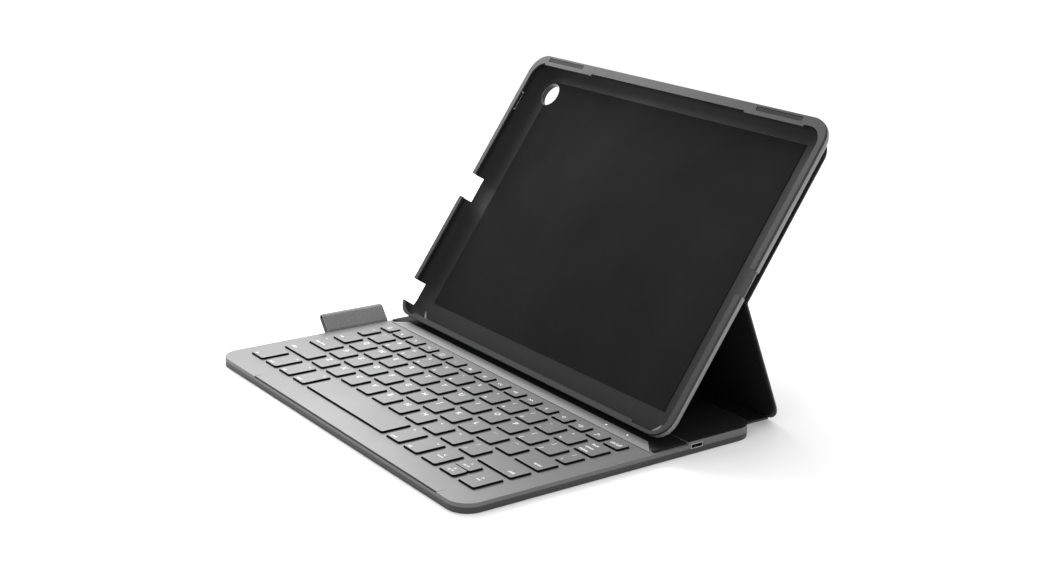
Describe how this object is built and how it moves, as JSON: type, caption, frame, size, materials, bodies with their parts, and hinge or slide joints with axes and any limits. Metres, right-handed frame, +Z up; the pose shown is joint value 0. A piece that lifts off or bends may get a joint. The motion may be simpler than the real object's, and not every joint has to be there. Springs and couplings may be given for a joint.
{
  "type": "tablet keyboard case",
  "caption": "Folding folio case for a tablet: slim keyboard base, fabric spine and back panels, and a rigid tray that leans over the keys in a typing pose.",
  "frame": {"origin": "middle of the keyboard base's flat underside, on the table", "axes": "+X to the typist's right, +Y from the front edge towards the spine, +Z up"},
  "size_m": [0.252, 0.2191, 0.153],
  "materials": {
    "cover_skin": "matt coated fabric",
    "housing_plastic": "matt moulded",
    "deck_plastic": "fine satin grain",
    "strip_plastic": "satin",
    "dark_pad": "soft matt",
    "key_plastic": "satin, lighter edges, white legends",
    "steel": "plain",
    "membrane_film": "film",
    "dome_rubber": "silicone",
    "link_plastic": "moulded",
    "circuit_board": "solder mask",
    "cell_wrap": "foil",
    "clear_plastic": "frosted",
    "black_plastic": "moulded",
    "magnet": "nickel plated",
    "loop_fabric": "elastic webbing",
    "stiffener": "fibre board",
    "lining_fabric": "microfibre",
    "tray_plastic": "fine texture",
    "rim_plastic": "satin",
    "pad_rubber": "soft matt"
  },
  "bodies": {
    "base": {"base_skin": "cover_skin", "bottom_housing": "housing_plastic", "top_deck": "deck_plastic", "dock_strip": "strip_plastic", "dock_pad": "dark_pad", "backing_plate": "steel", "membrane_sheet": "membrane_film", "membrane_tail": "membrane_film", "rubber_domes": "dome_rubber", "scissor_links": "link_plastic", "main_board": "circuit_board", "radio_module": "steel", "battery_cell": "cell_wrap", "indicator_board": "circuit_board", "light_pipes": "clear_plastic", "charge_socket": "steel", "socket_tongue": "black_plastic", "dock_magnets": "magnet", "closure_magnets": "magnet", "housing_screws": "steel", "pen_loop": "loop_fabric"},
    "spine": {"spine_skin": "cover_skin", "spine_board": "stiffener", "spine_lining": "lining_fabric", "rear_crease": "cover_skin", "foot_crease": "cover_skin"},
    "lower_panel": {"panel_skin": "cover_skin", "panel_board": "stiffener", "panel_lining": "lining_fabric", "back_crease": "cover_skin"},
    "tray": {"upper_skin": "cover_skin", "upper_board": "stiffener", "tray_shell": "tray_plastic", "tray_rim": "rim_plastic", "tray_lining": "lining_fabric", "tray_strikers": "steel", "camera_ring": "black_plastic", "closure_pads": "pad_rubber"},
    "home_key": {"home_key": "key_plastic"},
    "function_keys": {"function_keys": "key_plastic"},
    "number_keys": {"number_keys": "key_plastic"},
    "delete_key": {"delete_key": "key_plastic"},
    "tab_key": {"tab_key": "key_plastic"},
    "upper_letter_keys": {"upper_letter_keys": "key_plastic"},
    "caps_key": {"caps_key": "key_plastic"},
    "middle_letter_keys": {"middle_letter_keys": "key_plastic"},
    "enter_key": {"enter_key": "key_plastic"},
    "left_shift_key": {"left_shift_key": "key_plastic"},
    "lower_letter_keys": {"lower_letter_keys": "key_plastic"},
    "right_shift_key": {"right_shift_key": "key_plastic"},
    "left_modifier_keys": {"left_modifier_keys": "key_plastic"},
    "space_bar": {"space_bar": "key_plastic"},
    "right_modifier_keys": {"right_modifier_keys": "key_plastic"},
    "left_arrow_key": {"left_arrow_key": "key_plastic"},
    "up_arrow_key": {"up_arrow_key": "key_plastic"},
    "down_arrow_key": {"down_arrow_key": "key_plastic"},
    "right_arrow_key": {"right_arrow_key": "key_plastic"},
    "volume_up_cover": {"volume_up_cover": "pad_rubber"},
    "volume_down_cover": {"volume_down_cover": "pad_rubber"},
    "power_cover": {"power_cover": "pad_rubber"}
  },
  "joints": [
    {"name": "panel_fold", "type": "hinge", "parent": "spine", "child": "lower_panel", "pos_m": [0, 0.1083, 0.0004], "axis": [1, 0, 0], "range_deg": [-112.1, 0]},
    {"name": "crease_fold", "type": "hinge", "parent": "lower_panel", "child": "tray", "pos_m": [0, 0.08091, 0.06785], "axis": [1, 0, 0], "range_deg": [0, 57]},
    {"name": "spine_fold", "type": "hinge", "parent": "base", "child": "spine", "pos_m": [0, 0.0873, 0.0004], "axis": [1, 0, 0], "range_deg": [-90, 0]},
    {"name": "home_key_press", "type": "slide", "parent": "base", "child": "home_key", "axis": [0, 0, -1], "range_m": [0, 0.001], "stiffness_N_per_m": 300, "springref_m": -0.0002},
    {"name": "function_keys_press", "type": "slide", "parent": "base", "child": "function_keys", "axis": [0, 0, -1], "range_m": [0, 0.001], "stiffness_N_per_m": 4500, "springref_m": -0.0002},
    {"name": "number_keys_press", "type": "slide", "parent": "base", "child": "number_keys", "axis": [0, 0, -1], "range_m": [0, 0.001], "stiffness_N_per_m": 3900, "springref_m": -0.0002},
    {"name": "delete_key_press", "type": "slide", "parent": "base", "child": "delete_key", "axis": [0, 0, -1], "range_m": [0, 0.001], "stiffness_N_per_m": 300, "springref_m": -0.0002},
    {"name": "tab_key_press", "type": "slide", "parent": "base", "child": "tab_key", "axis": [0, 0, -1], "range_m": [0, 0.001], "stiffness_N_per_m": 300, "springref_m": -0.0002},
    {"name": "upper_letter_keys_press", "type": "slide", "parent": "base", "child": "upper_letter_keys", "axis": [0, 0, -1], "range_m": [0, 0.001], "stiffness_N_per_m": 3900, "springref_m": -0.0002},
    {"name": "caps_key_press", "type": "slide", "parent": "base", "child": "caps_key", "axis": [0, 0, -1], "range_m": [0, 0.001], "stiffness_N_per_m": 300, "springref_m": -0.0002},
    {"name": "middle_letter_keys_press", "type": "slide", "parent": "base", "child": "middle_letter_keys", "axis": [0, 0, -1], "range_m": [0, 0.001], "stiffness_N_per_m": 3300, "springref_m": -0.0002},
    {"name": "enter_key_press", "type": "slide", "parent": "base", "child": "enter_key", "axis": [0, 0, -1], "range_m": [0, 0.001], "stiffness_N_per_m": 300, "springref_m": -0.0002},
    {"name": "left_shift_key_press", "type": "slide", "parent": "base", "child": "left_shift_key", "axis": [0, 0, -1], "range_m": [0, 0.001], "stiffness_N_per_m": 300, "springref_m": -0.0002},
    {"name": "lower_letter_keys_press", "type": "slide", "parent": "base", "child": "lower_letter_keys", "axis": [0, 0, -1], "range_m": [0, 0.001], "stiffness_N_per_m": 3000, "springref_m": -0.0002},
    {"name": "right_shift_key_press", "type": "slide", "parent": "base", "child": "right_shift_key", "axis": [0, 0, -1], "range_m": [0, 0.001], "stiffness_N_per_m": 300, "springref_m": -0.0002},
    {"name": "left_modifier_keys_press", "type": "slide", "parent": "base", "child": "left_modifier_keys", "axis": [0, 0, -1], "range_m": [0, 0.001], "stiffness_N_per_m": 1200, "springref_m": -0.0002},
    {"name": "space_bar_press", "type": "slide", "parent": "base", "child": "space_bar", "axis": [0, 0, -1], "range_m": [0, 0.001], "stiffness_N_per_m": 300, "springref_m": -0.0002, "deforming": ["rubber_domes", "scissor_links"]},
    {"name": "right_modifier_keys_press", "type": "slide", "parent": "base", "child": "right_modifier_keys", "axis": [0, 0, -1], "range_m": [0, 0.001], "stiffness_N_per_m": 600, "springref_m": -0.0002},
    {"name": "left_arrow_key_press", "type": "slide", "parent": "base", "child": "left_arrow_key", "axis": [0, 0, -1], "range_m": [0, 0.001], "stiffness_N_per_m": 300, "springref_m": -0.0002},
    {"name": "up_arrow_key_press", "type": "slide", "parent": "base", "child": "up_arrow_key", "axis": [0, 0, -1], "range_m": [0, 0.001], "stiffness_N_per_m": 300, "springref_m": -0.0002},
    {"name": "down_arrow_key_press", "type": "slide", "parent": "base", "child": "down_arrow_key", "axis": [0, 0, -1], "range_m": [0, 0.001], "stiffness_N_per_m": 300, "springref_m": -0.0002},
    {"name": "right_arrow_key_press", "type": "slide", "parent": "base", "child": "right_arrow_key", "axis": [0, 0, -1], "range_m": [0, 0.001], "stiffness_N_per_m": 300, "springref_m": -0.0002},
    {"name": "volume_up_press", "type": "slide", "parent": "tray", "child": "volume_up_cover", "axis": [0, -0.5717, -0.8205], "range_m": [0, 0.0004], "stiffness_N_per_m": 800, "springref_m": -0.0002},
    {"name": "volume_down_press", "type": "slide", "parent": "tray", "child": "volume_down_cover", "axis": [0, -0.5717, -0.8205], "range_m": [0, 0.0004], "stiffness_N_per_m": 800, "springref_m": -0.0002},
    {"name": "power_press", "type": "slide", "parent": "tray", "child": "power_cover", "axis": [1, 0, 0], "range_m": [0, 0.0003], "stiffness_N_per_m": 800, "springref_m": -0.0002}
  ],
  "couplings": [
    {"joint": "crease_fold", "follows": "panel_fold", "ratio": -0.5082}
  ]
}
